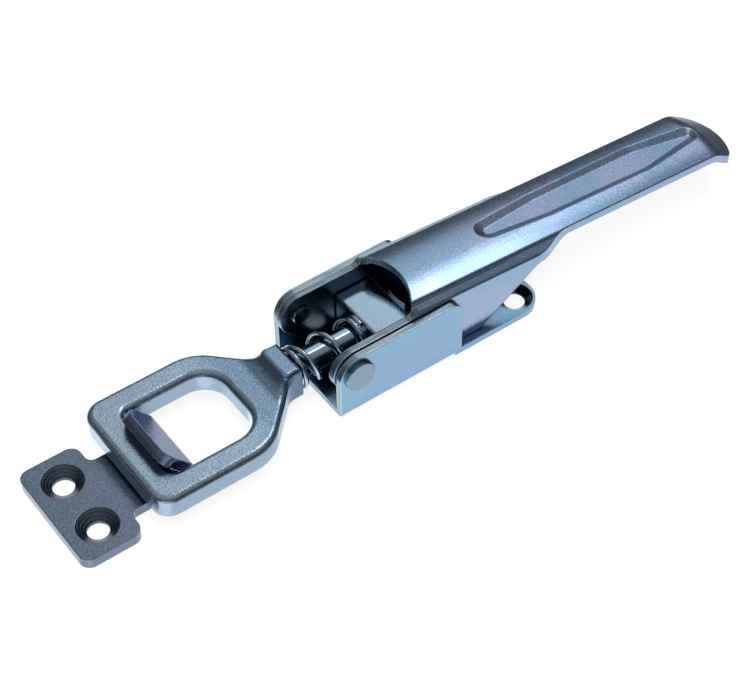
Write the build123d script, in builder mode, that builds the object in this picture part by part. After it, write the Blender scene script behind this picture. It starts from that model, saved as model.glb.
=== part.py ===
from build123d import *
import os
from math import cos, radians, sin, tan

os.makedirs("parts", exist_ok=True)

# Over centre toggle latch, shown closed with its catch plate hooked in the draw loop.
# The mounting faces lie on z = 0. The origin is on the base's mounting face, on its centre
# line, straight below the lever's pivot. +X runs towards the tip of the handle.

# ---- sheet, fits and clearances ----
sheet = 3.0
plate_sheet = 4.5
side_gap = 0.3
seat_gap = 0.3
pin_fit = 0.06
bore_fit = 0.10
tight_fit = 0.02

# ---- screws ----
screw_hole = 8.5
screw_sink = 16.4
screw_angle = 105.0

# ---- pivot of the lever ----
pivot_z = 19.5
pivot_dia = 8.0
rivet_head_dia = 13.0
rivet_head = 1.8
rivet_proud = 1.0

# ---- base bracket ----
base_width = 44.8
base_front = 8.5
wall_back = 48.7
wall_top = 28.2
wall_front_radius = 9.5
wall_back_radius = 5.0
bend_outer = 2.2
tail_end = 90.8
tail_radius = 10.0
tail_hole_x = 82.0
tail_hole_pitch = 26.8
tail_sink = 15.0
front_hole_x = 11.0
front_hole_pitch = 17.0

# ---- trunnion block and the line of pull ----
trunnion_x = 24.5
pull_z = 12.7
trunnion_dia = 10.0
block_length = 17.0
block_height = 16.0
block_edge = 1.0

# ---- lever ----
ear_nose = 9.3
ear_top_rise = 3.6
mouth_x = 29.0
mouth_depth = 5.3
ridge_z = 33.8
shoulder_width = 3.9
shoulder_drop = 3.0
shoulder_step = 1.0
shoulder_run = 0.6
crease_radius = 0.8
crown = 2.2
handle_drop = 3.65
nose_cut = 45.0
foot_back = 60.5
foot_corner = 6.0
ear_rake = 33.5
joggle_start = 92.5
joggle_end = 102.0
joggle_radius = 20.0
skirt_low = 22.0
skirt_start = 98.5
skirt_end = 106.0
edge_depth = 3.6
skirt_radius = 6.0
lip_radius = 12.0
lip_drop = 31.0
lip_reach = 199.5
lip_length = 16.5
lip_bow = 5.5
lip_corner = 5.0
panel_front = 72.5
panel_end_gap = 10.2
panel_front_radius = 6.2
panel_wide_x = 105.0
panel_wide_radius = 8.8
panel_waist_x = 156.0
panel_waist_radius = 9.5
panel_back_radius = 4.9
panel_depth = 1.9
panel_flank = 66.0

# ---- draw loop ----
loop_width = 58.0
loop_bar_x = 91.8
loop_bar = 12.0
loop_thick = 11.0
loop_low = 4.8
loop_corner = 8.0
loop_edge = 2.6
eye_back_x = 40.7
eye_width = 36.0
eye_bar_radius = 3.0
eye_back_radius = 11.0
shoulder_x = 43.0
neck_x = 22.5
shoulder_radius = 20.0
neck_radius = 8.0
collar_size = 17.2
collar_length = 7.7
collar_edge = 2.0
rod_dia = 11.2
rod_edge = 1.0
saddle = 7.5

# ---- spring and nut ----
spring_length = 32.3
spring_outer = 18.0
spring_wire = 2.1
closed_turns = 1.1
open_turns = 2.05
coil_start = -72.0
nut_flats = 18.0
nut_thick = 10.0
rod_past_nut = 2.5

# ---- catch plate ----
plate_width = 50.0
plate_length = 25.0
plate_start = 123.0
plate_offset = -1.6
plate_corner = 4.5
hook_width = 29.0
hook_lean = 40.0
hook_bend = 3.0
hook_reach = 14.7
hook_corner = 5.0
hook_play = 1.2
notch_radius = 3.0
plate_hole_in = 12.6
plate_hole_pitch = 25.0


# ==== base bracket ====
wall_outer = base_width / 2
wall_inner = wall_outer - sheet

with BuildPart() as base_bracket:
    with BuildSketch(Plane.YZ.offset(-base_front)):
        Rectangle(base_width, wall_top, align=(Align.CENTER, Align.MIN))
        with Locations((0, sheet)):
            Rectangle(2 * wall_inner, wall_top, align=(Align.CENTER, Align.MIN), mode=Mode.SUBTRACT)
    extrude(amount=base_front + wall_back)
    fillet(base_bracket.edges().filter_by(Axis.X).group_by(Axis.Z)[0], bend_outer)
    top_corners = base_bracket.edges().filter_by(Axis.Y).group_by(Axis.Z)[-1]
    fillet(top_corners.sort_by(Axis.X)[:2], wall_front_radius)
    fillet(top_corners.sort_by(Axis.X)[-2:], wall_back_radius)
    with BuildSketch(Plane.XY):
        with Locations((tail_end, 0)):
            Rectangle(tail_end - wall_back + sheet, base_width, align=(Align.MAX, Align.CENTER))
        fillet(vertices().group_by(Axis.X)[-1], tail_radius)
    extrude(amount=sheet)
    with Locations(Plane.XY.offset(sheet)):
        with Locations(*[(tail_hole_x, s * tail_hole_pitch / 2) for s in (-1, 1)]):
            CounterSinkHole(screw_hole / 2, tail_sink / 2, counter_sink_angle=screw_angle)
        with Locations(*[(front_hole_x, s * front_hole_pitch / 2) for s in (-1, 1)]):
            Hole(screw_hole / 2)
    with Locations(Plane.XZ):
        with Locations((0, pivot_z)):
            Hole(pivot_dia / 2 + tight_fit)
base_bracket.part.label = "base_bracket"
export_step(base_bracket.part, "parts/base_bracket.step")


# ==== pivot rivets, one through each wall and ear ====
ear_outer = wall_inner - side_gap
ear_inner = ear_outer - sheet
rivet_end = ear_inner - rivet_proud

with BuildPart() as pivot_rivet_near:
    with BuildSketch(Plane.XZ.offset(rivet_end)):
        with Locations((0, pivot_z)):
            Circle(pivot_dia / 2)
    extrude(amount=wall_outer - rivet_end)
    chamfer(pivot_rivet_near.edges().group_by(Axis.Y)[-1], rivet_proud / 2)
    with BuildSketch(Plane.XZ.offset(wall_outer)):
        with Locations((0, pivot_z)):
            Circle(rivet_head_dia / 2)
    extrude(amount=rivet_head)
    chamfer(pivot_rivet_near.edges().group_by(Axis.Y)[0], rivet_head / 5)
pivot_rivet_near.part.label = "pivot_rivet_near"
export_step(pivot_rivet_near.part, "parts/pivot_rivet_near.step")

with BuildPart() as pivot_rivet_far:
    add(mirror(pivot_rivet_near.part, about=Plane.XZ))
pivot_rivet_far.part.label = "pivot_rivet_far"
export_step(pivot_rivet_far.part, "parts/pivot_rivet_far.step")


# ==== trunnion block ====
trunnion_end = ear_outer - side_gap

with BuildPart() as trunnion_block:
    with BuildSketch(Plane.XZ.offset(-(ear_inner - side_gap))):
        with Locations((trunnion_x, pull_z)):
            Rectangle(block_length, block_height)
    extrude(amount=2 * (ear_inner - side_gap))
    fillet(trunnion_block.edges().filter_by(Axis.Y), block_edge)
    chamfer(trunnion_block.faces().filter_by(Axis.Y).edges(), block_edge / 2)
    with BuildSketch(Plane.XZ.offset(-trunnion_end)):
        with Locations((trunnion_x, pull_z)):
            Circle(trunnion_dia / 2)
    extrude(amount=2 * trunnion_end)
    with Locations(Plane.YZ.offset(trunnion_x)):
        with Locations((0, pull_z)):
            Hole(rod_dia / 2 + bore_fit)
trunnion_block.part.label = "trunnion_block"
export_step(trunnion_block.part, "parts/trunnion_block.step")


# ==== lever ====
# The plan outline, the cross section and the side view are crossed, then the same three,
# one sheet further in, are taken out of the result.
drop = radians(handle_drop)
ear_foot = sheet + side_gap
ear_top = pivot_z + ear_nose
deck = Plane(origin=(mouth_x, 0, ridge_z), x_dir=(0, 1, 0), z_dir=(cos(drop), 0, -sin(drop)))
deck_front = 2 * ear_nose + mouth_x
handle_straight = lip_reach - lip_length
ridge_half = ear_outer - shoulder_width
deck_length = deck_front + (handle_straight - mouth_x) / cos(drop)
skin_below = ridge_z + tan(drop) * mouth_x - edge_depth / cos(drop)
skirt_end_z = skin_below - tan(drop) * skirt_end
lip_root = (handle_straight, ridge_z - tan(drop) * (handle_straight - mouth_x))
foot_front = (ear_nose - (pivot_z - ear_foot) * cos(radians(nose_cut))) / -sin(radians(nose_cut))
rake_end = foot_back + (skirt_low - ear_foot) / tan(radians(ear_rake))


with BuildSketch(Plane.XY) as plan_outer:
    with BuildLine() as plan_edge:
        FilletPolyline(
            (-2 * ear_nose, ear_outer),
            (joggle_start, ear_outer),
            (joggle_end, ridge_half),
            (2 * lip_reach, ridge_half),
            radius=joggle_radius,
        )
        Line(plan_edge.line @ 1, (2 * lip_reach, 0))
        Line((-2 * ear_nose, ear_outer), (-2 * ear_nose, 0))
        mirror(about=Plane.XZ)
    make_face()

with BuildSketch(deck.offset(-deck_front)) as section_outer:
    with BuildLine():
        top = ThreePointArc((-ridge_half, 0), (0, crown), (ridge_half, 0))
        Polyline(
            top @ 1,
            (ridge_half + shoulder_run, -shoulder_step),
            (ear_outer, -shoulder_drop),
            (ear_outer, -2 * ridge_z),
            (-ear_outer, -2 * ridge_z),
            (-ear_outer, -shoulder_drop),
            (-ridge_half - shoulder_run, -shoulder_step),
            top @ 0,
        )
    make_face()
    creases = vertices().group_by(Axis.Y)
    fillet(creases[-1] + creases[-2], crease_radius)
    fillet(vertices().group_by(Axis.Y)[1], sheet / 2)

panel_plane = Plane(
    origin=(0, 0, ridge_z + tan(drop) * mouth_x + crown / cos(drop)),
    x_dir=(cos(drop), 0, -sin(drop)),
    z_dir=(-sin(drop), 0, -cos(drop)),
)

flank_run = tan(radians(panel_flank))


def panel_outline(depth, inset):
    """The leaf outline at a depth below the crown, drawn in all round by the inset."""
    with BuildSketch(panel_plane.offset(depth)) as outline:
        with Locations((panel_front + panel_front_radius, 0)):
            Circle(panel_front_radius - inset)
        with Locations((panel_wide_x, 0)):
            Circle(panel_wide_radius - inset)
        with Locations((panel_waist_x, 0)):
            Circle(panel_waist_radius - inset)
        with Locations((lip_reach - panel_end_gap - panel_back_radius, 0)):
            Circle(panel_back_radius - inset)
        make_hull()
    return outline.sketch


with BuildSketch(deck.offset(-deck_front)) as section_hollow:
    add(section_outer.sketch_local)
    offset(amount=-sheet)

with BuildSketch(deck.offset(-deck_front)) as lip_hollow:
    add(section_hollow.sketch_local)
    Rectangle(2 * (ridge_half - sheet), 2 * edge_depth, mode=Mode.INTERSECT)

with BuildSketch(deck.offset(deck_length - deck_front)) as lip_section:
    add(section_outer.sketch_local)
    Rectangle(2 * ridge_half, 2 * edge_depth, mode=Mode.INTERSECT)
    add(lip_hollow.sketch_local, mode=Mode.SUBTRACT)
with BuildLine(Plane.XZ) as lip_path:
    lip_arc = JernArc(lip_root, (cos(drop), -sin(drop)), lip_radius, -(lip_drop - handle_drop))
    Line(lip_arc @ 1, (lip_arc @ 1) + (lip_arc % 1) * (lip_reach - handle_straight))

with BuildPart() as lever_hollow:
    with BuildSketch(Plane.XY):
        add(plan_outer.sketch)
        offset(amount=-sheet)
    extrude(amount=2 * ridge_z)
    extrude(section_hollow.sketch, amount=2 * deck_length, mode=Mode.INTERSECT)

with BuildPart() as lever:
    extrude(plan_outer.sketch, amount=2 * ridge_z)
    extrude(section_outer.sketch, amount=deck_length, mode=Mode.INTERSECT)
    add(lever_hollow.part, mode=Mode.SUBTRACT)
    with BuildSketch(Plane.XZ.offset(-base_width)):
        with BuildLine():
            nose = CenterArc((0, pivot_z), ear_nose, 90, 180 - nose_cut)
            FilletPolyline(
                nose @ 1,
                (foot_front, ear_foot),
                (foot_back, ear_foot),
                (rake_end, skirt_low),
                (skirt_start, skirt_low),
                (skirt_end, skirt_end_z),
                radius=(foot_corner, foot_corner, skirt_radius, skirt_radius / 2),
            )
            Line((skirt_end, skirt_end_z), (lip_reach, skin_below - tan(drop) * lip_reach))
            Line((lip_reach, skin_below - tan(drop) * lip_reach), (lip_reach, 2 * ridge_z))
            FilletPolyline(
                (lip_reach, 2 * ridge_z),
                (mouth_x, 2 * ridge_z),
                (mouth_x, ear_top),
                nose @ 0,
                radius=ear_top_rise,
            )
        make_face()
    extrude(amount=2 * base_width, mode=Mode.INTERSECT)
    with BuildSketch(Plane.XY):
        with BuildLine():
            brow = ThreePointArc((mouth_x, ear_inner), (mouth_x + mouth_depth, 0), (mouth_x, -ear_inner))
            Polyline(brow @ 1, (-ear_nose, -ear_inner), (-ear_nose, ear_inner), brow @ 0)
        make_face()
    extrude(amount=2 * ridge_z, mode=Mode.SUBTRACT)
    with Locations(Plane.XZ):
        with Locations((0, pivot_z)):
            Hole(pivot_dia / 2 + pin_fit)
        with Locations((trunnion_x, pull_z)):
            Hole(trunnion_dia / 2 + pin_fit)
    # the lip, bent down from the end of the straight handle
    sweep(lip_section.sketch, path=lip_path.line)
    # the leaf-shaped panel, pressed down through the crown
    boss_inset = panel_depth * flank_run - sheet / 2
    loft([panel_outline(sheet / 2, -sheet / 2), panel_outline(panel_depth + sheet, boss_inset)])
    loft(
        [
            panel_outline(-panel_depth, -panel_depth * flank_run),
            panel_outline(panel_depth, panel_depth * flank_run),
        ],
        mode=Mode.SUBTRACT,
    )
    # the tip's outline, cut square to the mounting face
    with BuildSketch(Plane.XY):
        with BuildLine():
            bow = ThreePointArc(
                (lip_reach - lip_bow, -ridge_half),
                (lip_reach, 0),
                (lip_reach - lip_bow, ridge_half),
            )
            Polyline(bow @ 1, (-ear_nose, 2 * ridge_half), (-ear_nose, -2 * ridge_half), bow @ 0)
        make_face()
        fillet(vertices().sort_by(Axis.X)[-2:], lip_corner)
    extrude(amount=2 * ridge_z, mode=Mode.INTERSECT)
lever.part.label = "lever"
export_step(lever.part, "parts/lever.step")


# ==== draw loop ====
block_front = trunnion_x - block_length / 2
block_back = trunnion_x + block_length / 2
collar_back = block_front - spring_length
collar_front = collar_back - collar_length
collar_top = pull_z + collar_size / 2
loop_top = loop_low + loop_thick
nut_back = block_back + nut_thick

with BuildSketch(Plane.XY.offset(loop_low)) as loop_plan:
    with BuildLine():
        rim = FilletPolyline(
            (-loop_bar_x, 0),
            (-loop_bar_x, loop_width / 2),
            (-shoulder_x, loop_width / 2),
            (-neck_x, collar_size / 2),
            (collar_back, collar_size / 2),
            radius=(loop_corner, shoulder_radius, neck_radius),
        )
        Line(rim @ 1, (collar_back, 0))
        mirror(about=Plane.XZ)
    make_face()

# the flat loop sweeps up to the top of the square collar
with BuildPart() as draw_loop:
    extrude(loop_plan.sketch, amount=collar_top - loop_low)
    with BuildSketch(Plane.XZ.offset(-loop_width)):
        with BuildLine():
            flat = Line((-loop_bar_x - loop_corner, loop_top), (collar_front - saddle, loop_top))
            rise = TangentArc(flat @ 1, (collar_front, collar_top), tangent=flat % 1)
            Polyline(rise @ 1, (-loop_bar_x - loop_corner, collar_top), flat @ 0)
        make_face()
    extrude(amount=2 * loop_width, mode=Mode.SUBTRACT)
    with BuildSketch(Plane.XY.offset(loop_low)):
        with BuildLine():
            Polyline(
                (loop_bar - loop_bar_x, 0),
                (loop_bar - loop_bar_x, eye_width / 2),
                (-eye_back_x, eye_width / 2),
                (-eye_back_x, 0),
            )
            mirror(about=Plane.XZ)
        make_face()
        bar_corners = vertices().group_by(Axis.X)[0].sort_by(Axis.Y)
        fillet((bar_corners[0], bar_corners[-1]), eye_bar_radius)
        back_corners = vertices().group_by(Axis.X)[-1].sort_by(Axis.Y)
        fillet((back_corners[0], back_corners[-1]), eye_back_radius)
    extrude(amount=loop_thick, mode=Mode.SUBTRACT)
    rims = draw_loop.faces().filter_by(Axis.Z).edges()
    fillet(rims.filter_by_position(Axis.X, -loop_bar_x - 1, collar_front - saddle - 0.1), loop_edge)
    fillet(draw_loop.edges().filter_by(Axis.Y).group_by(Axis.Z)[-1], collar_edge)
    with BuildSketch(Plane.YZ.offset(collar_back)):
        with Locations((0, pull_z)):
            Circle(rod_dia / 2)
    extrude(amount=nut_back + rod_past_nut - collar_back)
    chamfer(draw_loop.edges().group_by(Axis.X)[-1], rod_edge)
draw_loop.part.label = "draw_loop"
export_step(draw_loop.part, "parts/draw_loop.step")


# ==== compression spring: open coils between two closed ones ====
coil_radius = (spring_outer - spring_wire) / 2
closed_rise = closed_turns * spring_wire
open_rise = spring_length - spring_wire - 2 * closed_rise
closed_coil = Helix(pitch=spring_wire, height=closed_rise, radius=coil_radius)
open_coils = Helix(pitch=open_rise / open_turns, height=open_rise, radius=coil_radius)
open_coils = Pos(0, 0, closed_rise) * Rot(0, 0, 360 * closed_turns) * open_coils
last_turn = Rot(0, 0, 360 * (closed_turns + open_turns))
last_coil = Pos(0, 0, closed_rise + open_rise) * last_turn * closed_coil
coil_plane = Plane(
    origin=(collar_back + spring_wire / 2, 0, pull_z),
    x_dir=(0, 0, 1),
    z_dir=(1, 0, 0),
)
coil_path = coil_plane * Rot(0, 0, coil_start) * Wire([closed_coil.edge(), open_coils.edge(), last_coil.edge()])

with BuildPart() as spring:
    with BuildSketch(Plane(origin=coil_path @ 0, z_dir=coil_path % 0)) as wire_section:
        Circle(spring_wire / 2)
    sweep(wire_section.sketch, path=coil_path, is_frenet=True)
spring.part.label = "spring"
export_step(spring.part, "parts/spring.step")


# ==== adjusting nut ====
with BuildPart() as adjusting_nut:
    with BuildSketch(Plane.YZ.offset(block_back)):
        with Locations((0, pull_z)):
            RegularPolygon(nut_flats / 2, 6, major_radius=False, rotation=0)
            Circle(rod_dia / 2 + tight_fit, mode=Mode.SUBTRACT)
    extrude(amount=nut_thick)
adjusting_nut.part.label = "adjusting_nut"
export_step(adjusting_nut.part, "parts/adjusting_nut.step")


# ==== catch plate ====
lean = radians(hook_lean)
bar_x = loop_bar - loop_bar_x - loop_edge
bar_z = loop_top - loop_edge
bar_support = bar_x * cos(lean) + bar_z * sin(lean) + loop_edge
hook_rise = (plate_sheet + hook_bend) * sin(lean) + hook_bend
hook_start = (bar_support + seat_gap - hook_rise) / cos(lean) + hook_play

with BuildPart() as catch_plate:
    with BuildLine(Plane.XZ) as hook_line:
        flat = Line((-plate_start, plate_sheet / 2), (hook_start, plate_sheet / 2))
        curl = JernArc(flat @ 1, (1, 0), hook_bend + plate_sheet / 2, 90 + hook_lean)
        tongue = Line(curl @ 1, (curl @ 1) + (curl % 1) * hook_reach)
    with BuildSketch(Plane.YZ.offset(-plate_start)):
        with Locations((plate_offset, plate_sheet / 2)):
            Rectangle(hook_width, plate_sheet)
    sweep(path=hook_line.line)
    hook_tip = catch_plate.faces().sort_by_distance(tongue @ 1)[0]
    fillet(hook_tip.edges().sort_by(SortBy.LENGTH)[:2], hook_corner)
    with BuildSketch(Plane.XY):
        with Locations((-plate_start, plate_offset)):
            Rectangle(plate_length, plate_width, align=(Align.MIN, Align.CENTER))
        fillet(vertices(), plate_corner)
    extrude(amount=plate_sheet)
    plate_end = plate_length - plate_start
    notches = catch_plate.edges().filter_by(Axis.Z)
    fillet(notches.filter_by_position(Axis.X, plate_end - 0.1, plate_end + 0.1), notch_radius)
    with Locations(Plane.XY.offset(plate_sheet)):
        with Locations((plate_hole_in - plate_start, plate_offset)):
            with GridLocations(0, plate_hole_pitch, 1, 2):
                CounterSinkHole(screw_hole / 2, screw_sink / 2, counter_sink_angle=screw_angle)
catch_plate.part.label = "catch_plate"
export_step(catch_plate.part, "parts/catch_plate.step")
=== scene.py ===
from collections import Counter
from math import radians

import bpy
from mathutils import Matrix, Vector


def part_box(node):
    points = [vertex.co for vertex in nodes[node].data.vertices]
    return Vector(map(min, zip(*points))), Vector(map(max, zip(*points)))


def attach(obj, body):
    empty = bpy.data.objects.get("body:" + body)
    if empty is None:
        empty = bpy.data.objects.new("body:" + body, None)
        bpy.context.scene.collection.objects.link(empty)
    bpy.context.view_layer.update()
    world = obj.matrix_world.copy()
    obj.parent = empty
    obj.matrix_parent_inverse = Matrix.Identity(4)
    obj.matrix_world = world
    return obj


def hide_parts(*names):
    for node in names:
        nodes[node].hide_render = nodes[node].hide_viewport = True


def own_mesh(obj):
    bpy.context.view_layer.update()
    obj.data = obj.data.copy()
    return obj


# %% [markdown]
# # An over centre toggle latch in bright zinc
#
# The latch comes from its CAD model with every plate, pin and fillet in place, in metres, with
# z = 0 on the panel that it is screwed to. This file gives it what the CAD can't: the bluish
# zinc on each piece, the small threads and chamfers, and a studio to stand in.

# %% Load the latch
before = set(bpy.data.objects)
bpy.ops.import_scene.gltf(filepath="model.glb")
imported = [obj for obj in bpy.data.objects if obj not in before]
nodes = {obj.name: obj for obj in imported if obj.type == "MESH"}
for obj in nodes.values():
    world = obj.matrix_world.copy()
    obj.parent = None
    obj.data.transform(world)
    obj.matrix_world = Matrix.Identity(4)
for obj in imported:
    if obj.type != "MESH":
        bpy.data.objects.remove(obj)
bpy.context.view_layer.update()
print("the latch has", len(nodes), "pieces:", ", ".join(sorted(nodes)))

# %% [markdown]
# # The camera
#
# The view is from in front and above, over the catch plate, with a long lens, so the handle
# runs away to the right without growing thin. The place and the turn were found by fitting the
# outlines of the latch, and the lens follows from the same fit.

# %% Camera
camera_data = bpy.data.cameras.new("studio_camera")
camera_data.sensor_width = 36.0
camera_data.lens = 96.823
camera = bpy.data.objects.new("studio_camera", camera_data)
bpy.context.collection.objects.link(camera)
camera.location = (-0.28417, -0.43694, 0.58096)
camera.rotation_euler = (radians(42.874), radians(0.794), radians(-35.992))
bpy.context.scene.camera = camera
print("camera at", [round(1000 * v) for v in camera.location], "mm with a", camera_data.lens, "mm lens")

# %% [markdown]
# # Shader nodes with less typing
#
# Metal takes its looks from what it mirrors and from how its grain spreads the mirror image.
# Both are built from shader nodes, so one small helper adds a node, sets it and joins its
# inputs. An input that is given a socket is joined to it, and any other value is typed in.

# %% Helper for shader nodes
def put(tree, kind, inputs=None, **settings):
    """Adds one shader node to a tree and returns it."""
    made = tree.nodes.new(kind)
    for name, value in settings.items():
        setattr(made, name, value)
    for name, value in (inputs or {}).items():
        if isinstance(value, bpy.types.NodeSocket):
            tree.links.new(value, made.inputs[name])
        else:
            made.inputs[name].default_value = value
    return made


# %% [markdown]
# # Sums, ranges, mixes and ramps
#
# Four kinds of node do most of the work: a sum, a range that is stretched onto another, a mix of
# two colours, and a ramp of greys. Each gets a short name here, so that the steps below read
# like arithmetic. A Mix node has inputs for several kinds of value, and its colours are the
# inputs 6 and 7.

# %% Helpers for arithmetic
def calc(tree, operation, *values):
    """Adds a Math node and returns its result."""
    return put(tree, "ShaderNodeMath", dict(enumerate(values)), operation=operation).outputs[0]


def vector_calc(tree, operation, *values):
    """Adds a Vector Math node and returns its result, a number for a dot product or a length."""
    made = put(tree, "ShaderNodeVectorMath", dict(enumerate(values)), operation=operation)
    return made.outputs["Value" if operation in ("DOT_PRODUCT", "LENGTH") else "Vector"]


def remap(tree, value, low, high, to_low=0.0, to_high=1.0, kind="LINEAR"):
    """Stretches the range from low to high onto another, and stays within its ends."""
    limits = {"Value": value, "From Min": low, "From Max": high, "To Min": to_low, "To Max": to_high}
    return put(tree, "ShaderNodeMapRange", limits, interpolation_type=kind).outputs["Result"]


def mix_colours(tree, share, first, second):
    """Mixes two colours: share 0 is all of the first, and 1 all of the second."""
    mixed = put(tree, "ShaderNodeMix", {0: share, 6: first, 7: second}, data_type="RGBA")
    return mixed.outputs["Result"]


def grey_ramp(tree, value, stops, kind="LINEAR"):
    """Adds a ramp of greys, given as pairs of place and light, and returns its colour."""
    made = put(tree, "ShaderNodeValToRGB", {"Fac": value})
    made.color_ramp.interpolation = kind
    while len(made.color_ramp.elements) < len(stops):
        made.color_ramp.elements.new(0.5)
    for element, (place, light) in zip(made.color_ramp.elements, stops):
        element.position = place
        element.color = (light, light, light, 1.0)
    return made.outputs["Color"]


# %% [markdown]
# # The studio that the zinc mirrors
#
# Plated steel has no colour of its own worth the name: a wall of the bracket is pale because it
# mirrors the white table, and the top of a plate is dark because it mirrors the dim room behind.
# So the studio is one sky around the latch: white below, dark at the height of the table's edge,
# and dim grey above, with a ramp by height that says how bright each part is. The ramp's places
# run from 0, straight down, to 1, straight up.
#
# The same could be done with cards and lamps. A sky was chosen because it is smooth and renders
# without noise.

# %% Studio sky by height
studio = bpy.data.worlds.new("studio")
bpy.context.scene.world = studio
studio.use_nodes = True
sky = studio.node_tree
sky.nodes.clear()
look = put(sky, "ShaderNodeTexCoord").outputs["Generated"]
height = put(sky, "ShaderNodeSeparateXYZ", {0: look}).outputs["Z"]
sky_stops = (
    (0.00, 1.00),
    (0.16, 1.00),
    (0.26, 0.42),
    (0.36, 0.20),
    (0.50, 0.11),
    (0.66, 0.10),
    (0.76, 0.17),
    (0.86, 0.285),
    (1.00, 0.41),
)
sky_light = grey_ramp(sky, remap(sky, height, -1.0, 1.0), sky_stops, kind="EASE")
print("sky ramp with", len(sky_stops), "steps")

# %% [markdown]
# # Glows in the sky
#
# A studio is lit from some sides more than others. In the sky a lamp is a round glow: the angle
# between the look and the glow's direction decides how much of it is seen. There are four:
#
# - a wide one, high on the right, that lifts the flat tops from grey to pale blue
# - a small strong one that draws the thin bright lines on the rolled edges
# - two very wide ones, low on the far and the near side, that brighten the walls which mirror them
#
# The camera itself sees plain white, as on a catalogue page.

# %% The glows in the sky
def add_glow(under, towards, outer, inner, colour):
    """Adds a round soft light to the sky. Outer and inner are cosines of its angular radii."""
    near = vector_calc(sky, "DOT_PRODUCT", look, Vector(towards).normalized())
    fade = remap(sky, near, outer, inner, kind="SMOOTHSTEP")
    return vector_calc(sky, "MULTIPLY_ADD", Vector(colour), fade, under)


sky_light = add_glow(sky_light, (0.52, 0.48, 0.70), 0.890, 0.985, (0.55, 0.55, 0.57))
sky_light = add_glow(sky_light, (0.43, 0.15, 0.89), 0.988, 0.997, (2.60, 2.60, 2.60))
sky_light = add_glow(sky_light, (0.22, 0.86, -0.46), 0.770, 0.920, (0.60, 0.60, 0.60))
sky_light = add_glow(sky_light, (-0.70, -0.70, -0.35), 0.750, 0.920, (0.55, 0.55, 0.55))
seen_by_metal = put(sky, "ShaderNodeBackground", {"Color": sky_light}).outputs[0]
seen_by_camera = put(sky, "ShaderNodeBackground", {"Color": (1.0, 1.0, 1.0, 1.0)}).outputs[0]
from_camera = put(sky, "ShaderNodeLightPath").outputs["Is Camera Ray"]
either = put(sky, "ShaderNodeMixShader", {0: from_camera, 1: seen_by_metal, 2: seen_by_camera})
put(sky, "ShaderNodeOutputWorld", {"Surface": either.outputs[0]})
bpy.context.scene.view_settings.view_transform = "Standard"
print("the studio sky has", len(sky.nodes), "nodes")

# %% [markdown]
# # The light table
#
# The latch lies on a light table: a plain pale sheet that is lit a little from below, as
# catalogues use it. It glows nearly as bright as the page, so a shadow on it stays faint. It
# doesn't show in the metal, which has the sky for that.

# %% Table
bpy.ops.object.select_all(action="DESELECT")
bpy.ops.mesh.primitive_plane_add(size=4.0, location=(0.04, 0.0, -0.0004))
table = bpy.context.object
table.name = "table"
table.visible_glossy = False
paper = bpy.data.materials.new("table_paper")
paper.use_nodes = True
paper_shader = paper.node_tree.nodes["Principled BSDF"]
paper_shader.inputs["Base Color"].default_value = (0.20, 0.20, 0.20, 1.0)
paper_shader.inputs["Emission Color"].default_value = (1.0, 1.0, 1.0, 1.0)
paper_shader.inputs["Emission Strength"].default_value = 0.87
paper_shader.inputs["Roughness"].default_value = 1.0
paper_shader.inputs["Specular IOR Level"].default_value = 0.0
table.data.materials.append(paper)
print("table", [round(v, 1) for v in table.dimensions], "m")

# %% [markdown]
# # The wide lamp
#
# A soft shadow needs a lamp that looks large from the table, so this one is over two metres wide
# and hangs straight above. It doesn't show in the metal either. A helper adds it, because a
# second round lamp follows.

# %% Wide lamp
def add_round_lamp(name, across, watts):
    """Adds a round area lamp of the given diameter and returns it."""
    data = bpy.data.lights.new(name, type="AREA")
    data.shape = "DISK"
    data.size = across
    data.energy = watts
    made = bpy.data.objects.new(name, data)
    bpy.context.collection.objects.link(made)
    print(name, watts, "W,", across, "m across")
    return made


wide_lamp = add_round_lamp("wide_lamp", across=2.4, watts=34.0)
wide_lamp.location = (0.0, 0.0, 1.7)
wide_lamp.visible_glossy = False

# %% [markdown]
# # The near lamp that draws the bright band
#
# One round lamp with a diffuser hangs half a metre away, up to the right. The crowned top of the
# lever mirrors it as a bright band along the near flank. It is a real lamp and not part of the
# sky, because it is near: the band is strong on the lever's body and fades along the handle.

# %% Near lamp
lit_spot = Vector((0.058, -0.012, 0.033))
to_lamp = Vector((0.53, 0.17, 0.83)).normalized()
lamp_distance = 0.55
near_lamp = add_round_lamp("near_lamp", across=0.21, watts=0.15)
near_lamp.data.color = (1.0, 0.95, 0.88)
near_lamp.location = lit_spot + lamp_distance * to_lamp
near_lamp.rotation_euler = to_lamp.to_track_quat("Z", "Y").to_euler()
print("near lamp at", [round(v, 2) for v in near_lamp.location])

# %% [markdown]
# # Groups that all the finishes share
#
# Several effects show on every piece, so each is a shader group with its own inputs. A group
# gives out only colours, masks, values and normals, and the metal itself stays in each material.
#
# A group that asks which way a face looks asks it in the piece's own axes. Then the finish turns
# with its piece, and the lever's top still looks like a top when the lever stands upright.

# %% Helpers for groups
def new_group(name, sockets_in, sockets_out):
    """Starts a shader node group with named inputs and outputs."""
    group = bpy.data.node_groups.new(name, "ShaderNodeTree")
    for label, kind, value in sockets_in:
        made = group.interface.new_socket(label, in_out="INPUT", socket_type="NodeSocket" + kind)
        made.default_value = value
    for label, kind in sockets_out:
        group.interface.new_socket(label, in_out="OUTPUT", socket_type="NodeSocket" + kind)
    return group, put(group, "NodeGroupInput").outputs, put(group, "NodeGroupOutput")


def own_place(group):
    """The place on the piece, in the piece's own axes."""
    return put(group, "ShaderNodeTexCoord").outputs["Object"]


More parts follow.
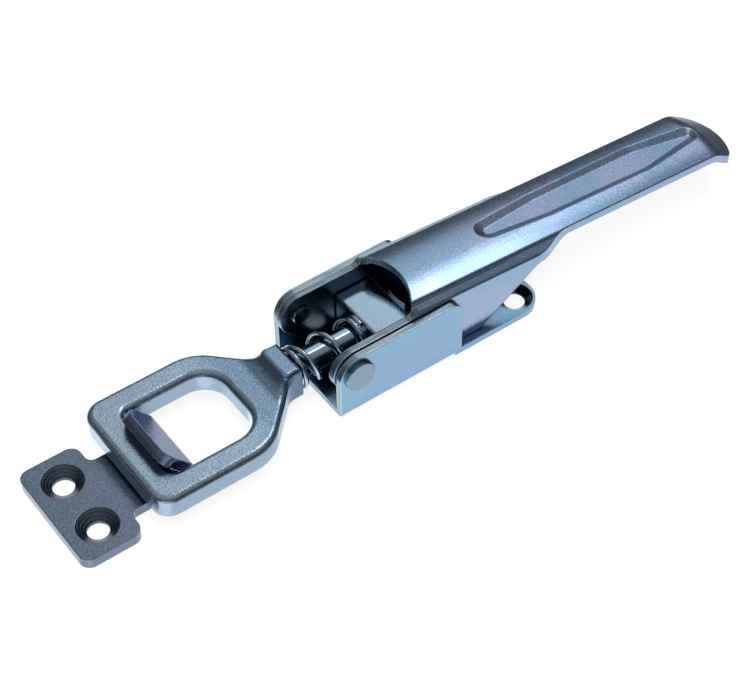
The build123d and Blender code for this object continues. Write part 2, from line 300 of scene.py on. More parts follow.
def own_normal(group):
    """The flat normal's parts in the piece's own axes."""
    flat = put(group, "ShaderNodeNewGeometry").outputs["True Normal"]
    turned = put(
        group,
        "ShaderNodeVectorTransform",
        {0: flat},
        vector_type="NORMAL",
        convert_from="WORLD",
        convert_to="OBJECT",
    )
    return put(group, "ShaderNodeSeparateXYZ", {0: turned.outputs[0]}).outputs


# %% [markdown]
# # How zinc looks close up
#
# Zinc plate is laid on in a bath and then dipped in a clear blue passivate. Three things show:
# slow clouds where the dip ran off, some bluer and some more lilac; a fine crystal grain that
# sparkles where the light grazes; and edges that come out paler, because plate builds up there.
#
# The clouds and the grain are two noises, one slow and one fine. The grain swings the colour and
# the roughness a little, and is a height for the bump. On upright faces it is weaker.

# %% Group: clouds and grain of the plating
plating, given, result = new_group(
    "zinc_plating",
    [
        ("Blue", "Color", (0.28, 0.43, 0.61, 1.0)),
        ("Lilac", "Color", (0.33, 0.42, 0.62, 1.0)),
        ("Cloud Size", "Float", 45.0),
        ("Grain Size", "Float", 1500.0),
        ("Grain Contrast", "Float", 0.2),
        ("Roughness", "Float", 0.28),
    ],
    [("Color", "Color"), ("Roughness", "Float"), ("Height", "Float")],
)
place = own_place(plating)
clouds = put(plating, "ShaderNodeTexNoise", {"Vector": place, "Scale": given["Cloud Size"], "Detail": 3.0})
cloud_mask = remap(plating, clouds.outputs["Fac"], 0.38, 0.62, kind="SMOOTHSTEP")
dipped = mix_colours(plating, cloud_mask, given["Blue"], given["Lilac"])
grain = put(
    plating,
    "ShaderNodeTexNoise",
    {"Vector": place, "Scale": given["Grain Size"], "Detail": 2.0, "Roughness": 0.7},
).outputs["Fac"]
roughness_swing = 0.25
centred = calc(plating, "SUBTRACT", grain, 0.5)
lying = remap(plating, own_normal(plating)["Z"], 0.0, 0.7, to_low=0.3)
contrast_here = calc(plating, "MULTIPLY", lying, given["Grain Contrast"])
swing = calc(plating, "MULTIPLY_ADD", centred, contrast_here, 1.0)
grained = vector_calc(plating, "MULTIPLY", dipped, swing)
rougher = calc(plating, "MULTIPLY_ADD", centred, roughness_swing, given["Roughness"])
plating.links.new(grained, result.inputs["Color"])
plating.links.new(rougher, result.inputs["Roughness"])
plating.links.new(grain, result.inputs["Height"])
print("group", plating.name, "has", len(plating.nodes), "nodes")

# %% [markdown]
# # Edges that aren't razor sharp
#
# Sheared and pressed edges have a small roll to them, and the plate builds up there. A Bevel node
# rounds the shading, and where the rounded normal leaves the true one, there is an edge. That
# difference is also the mask for the paler plate.

# %% Group: rolled edges
rolled, given, result = new_group(
    "rolled_edge",
    [("Radius", "Float", 0.0004), ("Mask Gain", "Float", 6.0)],
    [("Normal", "Vector"), ("Edge", "Float")],
)
round_normal = put(rolled, "ShaderNodeBevel", {"Radius": given["Radius"]}, samples=6).outputs["Normal"]
true_normal = put(rolled, "ShaderNodeNewGeometry").outputs["True Normal"]
follows = vector_calc(rolled, "DOT_PRODUCT", round_normal, true_normal)
leaves = calc(rolled, "SUBTRACT", 1.0, follows)
edge = put(rolled, "ShaderNodeMath", {0: leaves, 1: given["Mask Gain"]}, operation="MULTIPLY", use_clamp=True)
rolled.links.new(round_normal, result.inputs["Normal"])
rolled.links.new(edge.outputs[0], result.inputs["Edge"])
print("group", rolled.name, "has", len(rolled.nodes), "nodes")

# %% [markdown]
# Painted shade in the nooks
#
# This is painted shade. Ambient occlusion tells how shut in a place is, such as the inside of a
# channel or the root of a hole, and that becomes a value that the colour is multiplied by.

# %% Group: painted shade in the nooks
nook_shade, given, result = new_group(
    "painted_nook_shade",
    [("Distance", "Float", 0.012), ("Darkest", "Float", 0.25)],
    [("Light", "Float")],
)
open_sky = put(nook_shade, "ShaderNodeAmbientOcclusion", {"Distance": given["Distance"]}, samples=6).outputs["AO"]
nook_shade.links.new(remap(nook_shade, open_sky, 0.15, 0.70, to_low=given["Darkest"]), result.inputs["Light"])
print("group", nook_shade.name, "has", len(nook_shade.nodes), "nodes")

# %% [markdown]
# Painted shade inside the channel
#
# Between the ears and the walls the metal only mirrors more metal, so the channel lies in shade.
# Occlusion alone leaves such a deep channel too bright, so this group marks the room for painted
# shade between the side faces: within a half width of the centre line, under a ceiling that
# slopes with the lever, and between a front and a back end that fade out. Faces that look out of
# the front are left alone.

# %% Group: painted shade inside the channel
channel, given, result = new_group(
    "painted_channel_shade",
    [
        ("Half Width", "Float", 0.0164),
        ("Ceiling", "Float", 0.0345),
        ("Slope", "Float", 0.0),
        ("Front", "Float", -0.008),
        ("Back", "Float", 0.10),
        ("Darkest", "Float", 0.3),
    ],
    [("Light", "Float")],
)
front_fade, back_fade = 0.010, 0.012
front_lean = -0.6
inside = put(channel, "ShaderNodeSeparateXYZ", {0: own_place(channel)}).outputs
between = calc(channel, "LESS_THAN", calc(channel, "ABSOLUTE", inside["Y"]), given["Half Width"])
sloped = calc(channel, "MULTIPLY_ADD", inside["X"], given["Slope"], inside["Z"])
under_ceiling = calc(channel, "LESS_THAN", sloped, given["Ceiling"])
front_end = calc(channel, "ADD", given["Front"], front_fade)
behind_front = remap(channel, inside["X"], given["Front"], front_end, kind="SMOOTHSTEP")
back_end = calc(channel, "ADD", given["Back"], back_fade)
before_back = remap(channel, inside["X"], given["Back"], back_end, 1.0, 0.0, kind="SMOOTHSTEP")
not_front = calc(channel, "GREATER_THAN", own_normal(channel)["X"], front_lean)
shut_in = calc(channel, "MULTIPLY", between, under_ceiling)
for test in (not_front, behind_front, before_back):
    shut_in = calc(channel, "MULTIPLY", shut_in, test)
channel.links.new(remap(channel, shut_in, 0.0, 1.0, 1.0, given["Darkest"]), result.inputs["Light"])
print("group", channel.name, "has", len(channel.nodes), "nodes")

# %% [markdown]
# # Sheared edges
#
# A blank is cut by a punch, and the cut face is rolled and brushed, with fine lines that run along
# the sheet. Such faces look along the sheet: on the bracket and the lever they face the ends or
# stand up as narrow rims on the walls. The mask finds them by their normal and their place.
#
# The lines are of two kinds: noise that is drawn out along the sheet, and a few fixed bands
# across its thickness, where the punch first cut and then tore.

# %% Group: sheared edges
sheared, given, result = new_group(
    "sheared_edge",
    [
        ("Rim Height", "Float", 0.020),
        ("Rim Reach", "Float", 0.029),
        ("Inner Face", "Float", 0.0161),
        ("Sheet", "Float", 0.003),
    ],
    [("Mask", "Float"), ("Streak", "Float")],
)
square_lean, slanted_lean, upward_lean = 0.55, -0.25, 0.5
inner_slack = 0.0005
place = own_place(sheared)
spot = put(sheared, "ShaderNodeSeparateXYZ", {0: place}).outputs
faces = own_normal(sheared)
square_end = calc(sheared, "GREATER_THAN", calc(sheared, "ABSOLUTE", faces["X"]), square_lean)
slanted_end = calc(sheared, "LESS_THAN", faces["X"], slanted_lean)
end_face = calc(sheared, "MAXIMUM", square_end, slanted_end)
past_inner = calc(sheared, "SUBTRACT", calc(sheared, "ABSOLUTE", spot["Y"]), given["Inner Face"])
rim = calc(sheared, "GREATER_THAN", faces["Z"], upward_lean)
for test in (
    calc(sheared, "GREATER_THAN", past_inner, -inner_slack),
    calc(sheared, "GREATER_THAN", spot["Z"], given["Rim Height"]),
    calc(sheared, "LESS_THAN", spot["X"], given["Rim Reach"]),
):
    rim = calc(sheared, "MULTIPLY", rim, test)
sheared.links.new(calc(sheared, "MAXIMUM", end_face, rim), result.inputs["Mask"])
print("mask of", sheared.name, "has", len(sheared.nodes), "nodes")

# %% [markdown]
# # Lines on the cut faces
#
# To draw a noise out along the sheet, its coordinates are squeezed in that direction. The bands
# are a ramp over the depth in the sheet, from the inner face to the outer.

# %% Group: sheared edges, their lines
along_sheet = Vector((0.05, 1.0, 0.05))
bands_share = 0.65
squeezed = put(sheared, "ShaderNodeMapping", {"Vector": place, "Scale": along_sheet})
scratches = put(
    sheared, "ShaderNodeTexNoise", {"Vector": squeezed.outputs["Vector"], "Scale": 2400.0, "Detail": 3.0}
)
streak = remap(sheared, scratches.outputs["Fac"], 0.36, 0.60, kind="SMOOTHSTEP")
depth_in_sheet = calc(sheared, "DIVIDE", past_inner, given["Sheet"])
band_stops = ((0.0, 0.25), (0.16, 0.75), (0.34, 0.30), (0.52, 0.55), (0.68, 0.12), (0.9, 1.0))
bands = grey_ramp(sheared, depth_in_sheet, band_stops)
lined = put(sheared, "ShaderNodeMix", {0: bands_share, 2: streak, 3: bands}, data_type="FLOAT")
sheared.links.new(lined.outputs["Result"], result.inputs["Streak"])
print("group", sheared.name, "has", len(sheared.nodes), "nodes")

# %% [markdown]
# # One recipe for every zinc finish
#
# A piece's finish is the plating, the rolled edges and a bump of its own depth. A sheet has
# almost no bump, and a forging has the deep grain of the die. The recipe joins them for one
# piece, with that piece's own colours and sizes.
#
# The metal itself is the Principled BSDF that each new material starts with, made fully metallic.

# %% Recipe for a zinc finish
pale_plate = (0.60, 0.70, 0.78, 1.0)
grain_depth = 0.0002


def shader_of(material):
    """Returns the node tree of a finish and the metal shader in it."""
    return material.node_tree, material.node_tree.nodes["Principled BSDF"]


def zinc(name, blue, lilac, roughness, contrast, bump, edge_radius, paler_edges=0.5, darkest=0.3):
    """Makes the material of one zinc-plated piece and returns it."""
    material = bpy.data.materials.new(name)
    material.use_nodes = True
    tree, metal = shader_of(material)
    metal.inputs["Metallic"].default_value = 1.0
    own_values = {
        "Blue": (*blue, 1.0),
        "Lilac": (*lilac, 1.0),
        "Roughness": roughness,
        "Grain Contrast": contrast,
    }
    skin = put(tree, "ShaderNodeGroup", own_values, node_tree=plating).outputs
    edges = put(tree, "ShaderNodeGroup", {"Radius": edge_radius}, node_tree=rolled).outputs
    wear = calc(tree, "MULTIPLY", edges["Edge"], paler_edges)
    paler = mix_colours(tree, wear, skin["Color"], pale_plate)
    # Painted shade: ambient occlusion darkens the colour in the nooks.
    shut_in = put(tree, "ShaderNodeGroup", {"Darkest": darkest}, node_tree=nook_shade).outputs
    nook_shaded = vector_calc(tree, "MULTIPLY", paler, shut_in["Light"])
    dents = put(
        tree,
        "ShaderNodeBump",
        {"Strength": bump, "Distance": grain_depth, "Height": skin["Height"], "Normal": edges["Normal"]},
    )
    tree.links.new(nook_shaded, metal.inputs["Base Color"])
    tree.links.new(skin["Roughness"], metal.inputs["Roughness"])
    tree.links.new(dents.outputs["Normal"], metal.inputs["Normal"])
    print("finish", name)
    return material


# %% [markdown]
# # Finishes for the pressed pieces
#
# The bracket and the lever are pressed from sheet, smooth and bluish. The bracket is almost
# without grain. The lever shows more of it, and gets a bump that makes its crown a little uneven.

# %% Finishes for the pressed pieces
bracket_zinc = zinc(
    "bracket_zinc",
    blue=(0.26, 0.49, 0.66),
    lilac=(0.28, 0.45, 0.67),
    roughness=0.22,
    contrast=0.12,
    bump=0.02,
    edge_radius=0.0005,
    darkest=0.55,
)
lever_zinc = zinc(
    "lever_zinc",
    blue=(0.29, 0.45, 0.65),
    lilac=(0.37, 0.46, 0.67),
    roughness=0.21,
    contrast=1.10,
    bump=0.22,
    edge_radius=0.0008,
    paler_edges=0.1,
)

# %% [markdown]
# # Finishes for the forged and turned pieces
#
# The draw loop is forged, with a grain that can be felt. The spring is drawn wire and shines,
# and the block is machined and pale.

# %% Finishes for the forged and turned pieces
forged_zinc = zinc(
    "forged_zinc",
    blue=(0.38, 0.53, 0.66),
    lilac=(0.40, 0.52, 0.66),
    roughness=0.13,
    contrast=1.90,
    bump=0.42,
    edge_radius=0.0006,
    paler_edges=0.2,
)
turned_zinc = zinc(
    "turned_zinc",
    blue=(0.44, 0.58, 0.70),
    lilac=(0.46, 0.57, 0.70),
    roughness=0.08,
    contrast=0.20,
    bump=0.06,
    edge_radius=0.0003,
)
block_zinc = zinc(
    "block_zinc",
    blue=(0.50, 0.73, 0.92),
    lilac=(0.52, 0.71, 0.92),
    roughness=0.10,
    contrast=0.80,
    bump=0.10,
    edge_radius=0.0005,
    paler_edges=0.4,
    darkest=1.0,
)

# %% [markdown]
# # Finishes for the catch plate, the nut and the pins
#
# The catch plate is given a duller and darker colour than the rest. The nut is the brightest
# piece, with pale edges, and the pins are plain and a little dark.

# %% Finishes for the catch plate, the nut and the pins
plate_zinc = zinc(
    "plate_zinc",
    blue=(0.18, 0.26, 0.34),
    lilac=(0.21, 0.25, 0.36),
    roughness=0.20,
    contrast=1.80,
    bump=0.30,
    edge_radius=0.0006,
    paler_edges=0.35,
    darkest=0.75,
)
nut_zinc = zinc(
    "nut_zinc",
    blue=(0.70, 0.80, 0.88),
    lilac=(0.72, 0.79, 0.88),
    roughness=0.06,
    contrast=0.20,
    bump=0.05,
    edge_radius=0.0004,
    paler_edges=1.0,
    darkest=1.0,
)
rivet_zinc = zinc(
    "rivet_zinc",
    blue=(0.24, 0.37, 0.47),
    lilac=(0.26, 0.35, 0.47),
    roughness=0.16,
    contrast=0.25,
    bump=0.05,
    edge_radius=0.0001,
    paler_edges=0.1,
)

# %% [markdown]
# # Layers over a finish
#
# The steps below each add something to a finished material: a cut face, a shadow, a turned ring.
# A layer takes what feeds the metal now, changes it, and feeds it back, so layers can be stacked
# in any number. Two helpers lay a colour over a mask and dim the colour by a value.

# %% Helpers for layers
def so_far(node, name):
    """Returns the socket that feeds an input now."""
    return node.inputs[name].links[0].from_socket


def bump_of(material):
    """Returns the bump node of a finish."""
    return so_far(shader_of(material)[1], "Normal").node


def lay_over(material, mask, colour):
    """Lays a colour over a finish where the mask is white."""
    tree, metal = shader_of(material)
    shown = mix_colours(tree, mask, so_far(metal, "Base Color"), colour)
    tree.links.new(shown, metal.inputs["Base Color"])


def dim_by(material, light):
    """Multiplies the colour of a finish by a value."""
    tree, metal = shader_of(material)
    dimmed = vector_calc(tree, "MULTIPLY", so_far(metal, "Base Color"), light)
    tree.links.new(dimmed, metal.inputs["Base Color"])


# %% [markdown]
# # Cut faces on the pressed sheet
#
# Both pressed pieces show their sheared faces, so the mask and the scratches are laid over their
# finished colour: pale metal, with the darker lines of the scratches in it.

# %% Cut faces
def show_cut_faces(material, rim_height, rim_reach, inner_face, dark_line, pale_line):
    """Lays pale scratched metal over the sheared faces of a finish."""
    tree = material.node_tree
    places = {"Rim Height": rim_height, "Rim Reach": rim_reach, "Inner Face": inner_face}
    cut = put(tree, "ShaderNodeGroup", places, node_tree=sheared).outputs
    bare = mix_colours(tree, cut["Streak"], (*dark_line, 1.0), (*pale_line, 1.0))
    lay_over(material, cut["Mask"], bare)
    print("cut faces on", material.name)


show_cut_faces(
    bracket_zinc,
    rim_height=0.006,
    rim_reach=0.2,
    inner_face=0.0194,
    dark_line=(0.10, 0.17, 0.23),
    pale_line=(0.60, 0.76, 0.86),
)
show_cut_faces(
    lever_zinc,
    rim_height=0.020,
    rim_reach=0.0305,
    inner_face=0.0161,
    dark_line=(0.07, 0.12, 0.17),
    pale_line=(0.46, 0.60, 0.70),
)

# %% [markdown]
# # Shut in between the walls
#
# This is painted shade: the bracket's floor and inner faces, the lever's inner faces and the inner
# ends of the pins are multiplied by the light that the channel group lets in. The bracket is
# dimmed most, because its floor lies deepest.

# %% Dark channel
def shade_channel(material, half_width, ceiling, slope, front, back, darkest):
    """Dims the part of a finish that lies inside the channel."""
    room = {
        "Half Width": half_width,
        "Ceiling": ceiling,
        "Slope": slope,
        "Front": front,
        "Back": back,
        "Darkest": darkest,
    }
    let_in = put(material.node_tree, "ShaderNodeGroup", room, node_tree=channel).outputs["Light"]
    dim_by(material, let_in)
    print("dark channel in", material.name)


shade_channel(
    bracket_zinc, half_width=0.0196, ceiling=0.050, slope=0.0, front=-0.009, back=0.040, darkest=0.22
)
shade_channel(
    lever_zinc, half_width=0.0164, ceiling=0.0345, slope=0.0638, front=-0.010, back=0.070, darkest=0.26
)
shade_channel(
    rivet_zinc, half_width=0.0192, ceiling=0.050, slope=0.0, front=-0.010, back=0.060, darkest=0.35
)

# %% [markdown]
# # The block leans on its pins
#
# The block hangs between the lever's ears on its round ends. Its flat faces mirror the sky as if
# its nose pointed down a little, while the CAD model keeps it level so that the rod runs true. So
# only the shaded normal is leaned, and the solid stays as it is. The block stays level as the
# lever turns, which is why one fixed direction serves at every pose.

# %% Leaning faces
def lean_face(material, lean):
    """Leans the shaded faces of a finish a little."""
    tree = material.node_tree
    dents = bump_of(material)
    leaned = vector_calc(tree, "ADD", so_far(dents, "Normal"), lean)
    tree.links.new(vector_calc(tree, "NORMALIZE", leaned), dents.inputs["Normal"])
    print("faces of", material.name, "lean by", lean)


lean_face(block_zinc, (-0.12, -0.04, 0.0))

# %% [markdown]
# # The turned rod on the forged loop
#
# The loop is one piece with its rod, but the rod was turned, so it is smooth and mirrors sharply
# where the forging is grainy. Behind the collar the grain is faded out by place, and past the
# nut a screw thread shows: a wave that runs along the rod, shifted by the angle round it.
#
# A modelled helix would need many thousands of faces. A bump is enough for a thread of which
# only the last turns show.

# %% Turned rod
turned_colour = (0.36, 0.50, 0.62, 1.0)
turned_roughness_change = -0.08
thread_depth = 4.0


def turn_rod(material, rod_start, rod_z, thread_start, pitch):
    """Gives the rod behind the collar a smooth turned finish, and a thread at its end."""
    tree, metal = shader_of(material)
    dents = bump_of(material)
    spot = put(tree, "ShaderNodeSeparateXYZ", {0: own_place(tree)}).outputs
    on_rod = calc(tree, "GREATER_THAN", spot["X"], rod_start)
    smoother = remap(tree, on_rod, 0.0, 1.0, 0.0, turned_roughness_change)
    sharper = calc(tree, "ADD", so_far(metal, "Roughness"), smoother)
    tree.links.new(sharper, metal.inputs["Roughness"])
    lay_over(material, on_rod, turned_colour)
    angle = calc(tree, "ARCTAN2", calc(tree, "SUBTRACT", spot["Z"], rod_z), spot["Y"])
    part_turn = calc(tree, "MULTIPLY", angle, 1.0 / radians(360.0))
    turns = calc(tree, "MULTIPLY_ADD", spot["X"], 1.0 / pitch, part_turn)
    flank = calc(tree, "PINGPONG", turns, 1.0)
    on_thread = calc(tree, "GREATER_THAN", spot["X"], thread_start)
    thread = calc(tree, "MULTIPLY", flank, on_thread)
    off_rod = calc(tree, "SUBTRACT", 1.0, on_rod)
    grain_left = calc(tree, "MULTIPLY", so_far(dents, "Height"), off_rod)
    both = calc(tree, "MULTIPLY_ADD", thread, thread_depth, grain_left)
    tree.links.new(both, dents.inputs["Height"])
    print("turned rod in", material.name)


turn_rod(forged_zinc, rod_start=-0.0163, rod_z=0.0127, thread_start=0.0432, pitch=0.00175)

# %% [markdown]
# # Rings in the screw holes
#
# A countersink is cut by a turning tool, which leaves fine rings round the hole. The rings are a
# wave of the distance from the hole's centre, inside the sink's radius only, and dent the cone.
# The whole cone is also made darker.

# %% Group: turned rings
rings, given, result = new_group(
    "turned_rings",
    [
        ("Centre", "Vector", (0.0, 0.0, 0.0)),
        ("Radius", "Float", 0.0082),
        ("Pitch", "Float", 0.0011),
        ("Darkest", "Float", 0.55),
    ],
    [("Light", "Float"), ("Height", "Float")],
)
from_centre = vector_calc(rings, "SUBTRACT", own_place(rings), given["Centre"])
flattened = vector_calc(rings, "MULTIPLY", from_centre, (1.0, 1.0, 0.0))
distance = vector_calc(rings, "LENGTH", flattened)
in_sink = calc(rings, "LESS_THAN", distance, given["Radius"])
wave = calc(rings, "PINGPONG", calc(rings, "DIVIDE", distance, given["Pitch"]), 0.5)
rings.links.new(remap(rings, in_sink, 0.0, 1.0, 1.0, given["Darkest"]), result.inputs["Light"])
rings.links.new(calc(rings, "MULTIPLY", wave, in_sink), result.inputs["Height"])
print("group", rings.name, "has", len(rings.nodes), "nodes")

# %% [markdown]
# # Rings on the plate and the tail
#
# The catch plate and the bracket's tail are each screwed down by two countersunk screws. The group
# is placed once for every hole, at that hole's centre and with its sink's radius.

# %% Rings on the plate and the tail
ring_depth = 2.2
plate_holes = ((-0.1104, -0.0141), (-0.1104, 0.0109))
tail_holes = ((0.082, -0.0134), (0.082, 0.0134))


def turn_holes(material, centres, radius):
    """Turns rings into each countersink of a finish."""
    tree = material.node_tree
    dents = bump_of(material)
    for x, y in centres:
        sink = {"Centre": (x, y, 0.0), "Radius": radius}
        hole = put(tree, "ShaderNodeGroup", sink, node_tree=rings).outputs
        dim_by(material, hole["Light"])
        deeper = calc(tree, "MULTIPLY_ADD", hole["Height"], ring_depth, so_far(dents, "Height"))
        tree.links.new(deeper, dents.inputs["Height"])
    print("rings in", len(centres), "holes of", material.name)


turn_holes(plate_zinc, plate_holes, radius=0.00815)
turn_holes(bracket_zinc, tail_holes, radius=0.00745)

# %% [markdown]
# Painted light and shade on some sides
#
# Some faces are made lighter or darker than the sky alone makes them, such as a face inside a
# recess or the back of a pressing, so their light and shade are painted into the colour. This group
# finds such faces by two tests. The place must lie in a box, given by its middle and half size, and
# the normal must lean towards a given direction.

# %% Group: painted light on a side
toned, given, result = new_group(
    "painted_light_on_side",
    [
        ("Middle", "Vector", (0.0, 0.0, 0.0)),
        ("Half Size", "Vector", (1.0, 1.0, 1.0)),
        ("Facing", "Vector", (0.0, 0.0, 1.0)),
        ("Softness", "Float", 0.001),
        ("Lean From", "Float", 0.5),
        ("Lean To", "Float", 0.8),
    ],
    [("Mask", "Float")],
)
off_middle = vector_calc(toned, "SUBTRACT", own_place(toned), given["Middle"])
share = vector_calc(toned, "ABSOLUTE", vector_calc(toned, "DIVIDE", off_middle, given["Half Size"]))
along = put(toned, "ShaderNodeSeparateXYZ", {0: share}).outputs
widest = calc(toned, "MAXIMUM", calc(toned, "MAXIMUM", along["X"], along["Y"]), along["Z"])
in_box = remap(toned, widest, 1.0, calc(toned, "SUBTRACT", 1.0, given["Softness"]))
facing = put(toned, "ShaderNodeTexCoord").outputs["Normal"]
lean_of = vector_calc(toned, "DOT_PRODUCT", facing, given["Facing"])
leans = remap(toned, lean_of, given["Lean From"], given["Lean To"])
toned.links.new(calc(toned, "MULTIPLY", in_box, leans), result.inputs["Mask"])
print("group", toned.name, "has", len(toned.nodes), "nodes")

# %% [markdown]
# Painted light and shade on the lever
#
# Painted light makes the back of the pressing pale, and the rim of the mouth at its front. Painted
# shade makes the recess's far flank dark, and the handle's near edge and near flank darker than its top.
#
# Each call names a box and a direction. The tint is multiplied into the colour, so a tint above
# one makes a face paler.

# %% Painted light and shade on the lever
def paint_light_on_side(material, middle, half_size, facing, lean, tint, softness=0.001):
    """Multiplies a finish by a tint on the faces that pass the group's two tests."""
    tree, metal = shader_of(material)
    tests = {
        "Middle": middle,
        "Half Size": half_size,
        "Facing": facing,
        "Softness": softness,
        "Lean From": lean[0],
        "Lean To": lean[1],
    }
    side = put(tree, "ShaderNodeGroup", tests, node_tree=toned).outputs
    tinted = vector_calc(tree, "MULTIPLY", so_far(metal, "Base Color"), tint)
    lay_over(material, side["Mask"], tinted)
    print("toned side on", material.name)


# Painted light: the pale underside.
paint_light_on_side(
    lever_zinc,
    middle=(0.13, 0.0, 0.03),
    half_size=(0.075, 0.03, 0.03),
    facing=(0.0, 0.0, -1.0),
    lean=(0.4, 0.8),
    tint=(2.1, 1.55, 1.15),
)
# Painted shade: the recess's far flank.
paint_light_on_side(
    lever_zinc,
    middle=(0.14, 0.0, 0.03),
    half_size=(0.065, 0.0112, 0.03),
    facing=(0.0, -1.0, 0.0),
    lean=(0.3, 0.5),
    tint=(0.40, 0.43, 0.47),
)
# Painted shade: the handle's near edge.
paint_light_on_side(
    lever_zinc,
    middle=(0.155, -0.02, 0.03),
    half_size=(0.052, 0.009, 0.03),
    facing=(0.0, -0.71, 0.71),
    lean=(0.92, 0.97),
    tint=(0.4, 0.4, 0.4),
)
# Painted light: the pale rim of the mouth.
paint_light_on_side(
    lever_zinc,
    middle=(0.02, 0.0, 0.03),
    half_size=(0.02, 0.0185, 0.03),
    facing=(-1.0, 0.0, 0.0),
    lean=(0.2, 0.4),
    tint=(2.0, 1.9, 1.8),
)
# Painted shade: the handle's near flank, which fades in from the ends of its box.
paint_light_on_side(
    lever_zinc,
    middle=(0.155, -0.02, 0.03),
    half_size=(0.075, 0.0115, 0.03),
    facing=(0.0, -0.26, 0.966),
    lean=(0.975, 0.995),
    tint=(0.58, 0.62, 0.65),
    softness=0.4,
)

# %% [markdown]
# Painted shade on the loop, and a paler hook
#
# Painted shade makes the near sides of the loop a shade darker than its top. Its neck and collar
# are made darker still, and the hook of the catch plate paler than the plate. Where a tint covers
# a whole region, the lean is set so low that a face in any direction passes.

# %% Painted shade on the loop, and a paler hook
any_lean = (-2.0, -1.5)
# Painted shade: the loop's near sides.
paint_light_on_side(
    forged_zinc,
    middle=(0.0, 0.0, 0.0),
    half_size=(1.0, 1.0, 1.0),
    facing=(0.0, -1.0, 0.0),
    lean=(0.6, 0.9),
    tint=(0.82, 0.81, 0.85),
)
# The neck and the collar.
paint_light_on_side(
    forged_zinc,
    middle=(-0.026, 0.0, 0.013),
    half_size=(0.020, 0.04, 0.04),
    facing=(0.0, 0.0, 1.0),
    lean=any_lean,
    tint=(0.66, 0.76, 0.84),
    softness=0.45,
)
# Painted shade: the collar's near side.
paint_light_on_side(
    forged_zinc,
    middle=(-0.023, 0.0, 0.013),
    half_size=(0.007, 0.04, 0.04),
    facing=(0.0, -1.0, 0.0),
    lean=(0.5, 0.8),
    tint=(0.62, 0.66, 0.68),
)
# The hook of the catch plate.
paint_light_on_side(
    plate_zinc,
    middle=(-0.062, 0.0, 0.021),
    half_size=(0.020, 0.03, 0.0155),
    facing=(0.0, 0.0, 1.0),
    lean=any_lean,
    tint=(1.6, 1.45, 1.7),
)

# %% [markdown]
# # The adjusting nut, with its chamfers
#
# A real hexagon nut has its corners turned off at both ends, which leaves a curved edge on each
# flat. The hexagon is a cylinder with six sides. A round drum with tapered ends is laid over it,
# and a Boolean keeps what the two share, which is how a lathe would cut it. A second Boolean
# bores it for the rod, and a small bevel takes the sharpness off.
#
# The drum and the hexagon end in the same planes. Blender's Exact solver doesn't always treat
# faces that coincide in the same way, and now and then it leaves the nut open, so that one run
# of this file would differ from the next. The Manifold solver takes closed shapes only and gives
# a closed shape back, so it does the cutting, and the open edges are counted after each cut.
#
# All three are cylinders that lie along the rod, so one helper adds them. The others pick faces
# by a test, apply a Boolean and count the open edges.

# %% Helpers for hand modelling
nut_low, nut_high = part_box("adjusting_nut")
nut_middle = (Vector(nut_low) + Vector(nut_high)) / 2
nut_thick = nut_high[0] - nut_low[0]
nut_corner = (nut_high[1] - nut_low[1]) / 2
nut_flat = (nut_high[2] - nut_low[2]) / 2
print("nut in mm:", [round(1000 * v, 2) for v in (nut_thick, 2 * nut_corner, 2 * nut_flat)])


def add_cylinder(name, sides, radius, length):
    """Adds a cylinder along the rod at the nut's middle, and leaves it alone in the selection."""
    bpy.ops.object.select_all(action="DESELECT")
    bpy.ops.mesh.primitive_cylinder_add(
        vertices=sides,
        radius=radius,
        depth=length,
        location=nut_middle,
        rotation=(0.0, radians(90.0), 0.0),
    )
    piece = bpy.context.object
    piece.name = name
    return piece


def pick_faces(piece, wanted):
    """Selects the faces whose normal passes the test, and goes to edit mode."""
    bpy.ops.object.mode_set(mode="EDIT")
    bpy.ops.mesh.select_mode(type="FACE")
    bpy.ops.mesh.select_all(action="DESELECT")
    bpy.ops.object.mode_set(mode="OBJECT")
    for face in piece.data.polygons:
        face.select = bool(wanted(face.normal))
    bpy.ops.object.mode_set(mode="EDIT")


def cut_with(piece, tool, operation):
    """Applies a Boolean with the tool to the piece, and deletes the tool."""
    cut = piece.modifiers.new("cut", "BOOLEAN")
    cut.operation = operation
    cut.solver = "MANIFOLD"
    cut.object = tool
    bpy.context.view_layer.objects.active = piece
    bpy.ops.object.modifier_apply(modifier=cut.name)
    bpy.data.objects.remove(tool)
    print(operation, "leaves", open_edges(piece), "open edges")


def open_edges(piece):
    """Counts the edges that don't join exactly two faces. A closed piece has none."""
    shared = Counter(edge for face in piece.data.polygons for edge in face.edge_keys)
    return sum(1 for faces_there in shared.values() if faces_there != 2)


# %% [markdown]
# # A drum with tapered ends
#
# The drum is what the lathe would leave of a round bar. It starts as a short cylinder, a hair
# wider than the corners so that its side doesn't graze them. Each end face is then extruded
# outwards and drawn in to just under the width across the flats.

# %% Drum with tapered ends
taper = 0.0009
wider_than_corners = 1.001
end_radius = nut_flat * 0.985
drum = add_cylinder(
    "nut_drum", sides=72, radius=nut_corner * wider_than_corners, length=nut_thick - 2 * taper
)
bpy.ops.object.transform_apply(location=True, rotation=True, scale=True)
draw_in = end_radius / nut_corner
for end in (-1.0, 1.0):
    pick_faces(drum, lambda normal: normal.x * end > 0.9)
    bpy.ops.mesh.extrude_region_move(TRANSFORM_OT_translate={"value": (end * taper, 0.0, 0.0)})
    bpy.ops.transform.resize(value=(1.0, draw_in, draw_in), center_override=nut_middle)
    bpy.ops.object.mode_set(mode="OBJECT")
print("drum has", len(drum.data.polygons), "faces")

# %% [markdown]
# # The hexagon, cut by the drum and bored
#
# A cylinder with six sides has two corners across and two flats up and down when it lies along
# the rod, which is how the nut sits. It is cut by the drum, and bored a hair wider than the rod.

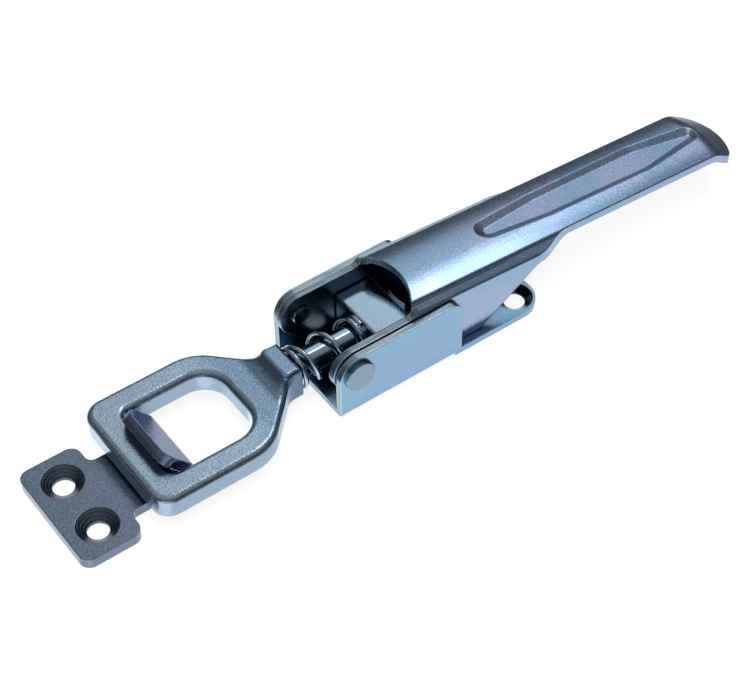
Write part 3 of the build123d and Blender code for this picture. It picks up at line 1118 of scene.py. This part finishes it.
# %% Hexagon, cut by the drum and bored
bore_radius = 0.00563
bore_length = 0.03
hex_nut = add_cylinder("adjusting_nut_chamfered", sides=6, radius=nut_corner, length=nut_thick)
bpy.ops.object.transform_apply(location=True, rotation=True, scale=True)
print("hexagon in mm:", [round(1000 * v, 2) for v in hex_nut.dimensions])
cut_with(hex_nut, drum, "INTERSECT")
bore = add_cylinder("nut_bore", sides=48, radius=bore_radius, length=bore_length)
cut_with(hex_nut, bore, "DIFFERENCE")
print("bored nut has", len(hex_nut.data.polygons), "faces")

# %% [markdown]
# # Worn edges, and the nut's place in the latch
#
# No plated edge is sharp, so a small bevel rounds them, and the shading is smooth over all but
# the real corners. The cylinders brought a UV map along that nothing reads, so it is taken off.
# The nut then takes the place of the plain one from the CAD model, and travels with the draw loop
# that it is screwed on.

# %% Worn edges
bpy.ops.object.select_all(action="DESELECT")
hex_nut.select_set(True)
bpy.context.view_layer.objects.active = hex_nut
worn = hex_nut.modifiers.new("worn_edges", "BEVEL")
worn.width = 0.00018
worn.segments = 2
worn.limit_method = "ANGLE"
worn.angle_limit = radians(20.0)
bpy.ops.object.modifier_apply(modifier=worn.name)
bpy.ops.object.shade_smooth_by_angle(angle=radians(30.0))
hex_nut.data.uv_layers.remove(hex_nut.data.uv_layers[0])
hex_nut.data.materials.clear()
hex_nut.data.materials.append(nut_zinc)
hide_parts("adjusting_nut")
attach(hex_nut, "draw_loop")
print("nut has", len(hex_nut.data.polygons), "faces")

# %% [markdown]
# # Dress the pieces
#
# The CAD pieces keep their shapes and their places. Each has one material slot, and its finish
# goes into that slot.

# %% Dress the pieces
for name, finish in (
    ("base_bracket", bracket_zinc),
    ("lever", lever_zinc),
    ("draw_loop", forged_zinc),
    ("trunnion_block", block_zinc),
    ("pivot_rivet_near", rivet_zinc),
    ("pivot_rivet_far", rivet_zinc),
    ("spring", turned_zinc),
    ("catch_plate", plate_zinc),
):
    for slot in nodes[name].material_slots:
        slot.material = finish
    print(name, "gets", finish.name)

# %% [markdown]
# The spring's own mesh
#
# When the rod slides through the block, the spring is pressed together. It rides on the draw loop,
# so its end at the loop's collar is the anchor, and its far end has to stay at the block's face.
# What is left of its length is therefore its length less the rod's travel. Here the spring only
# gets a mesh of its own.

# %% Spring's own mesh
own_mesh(nodes["spring"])
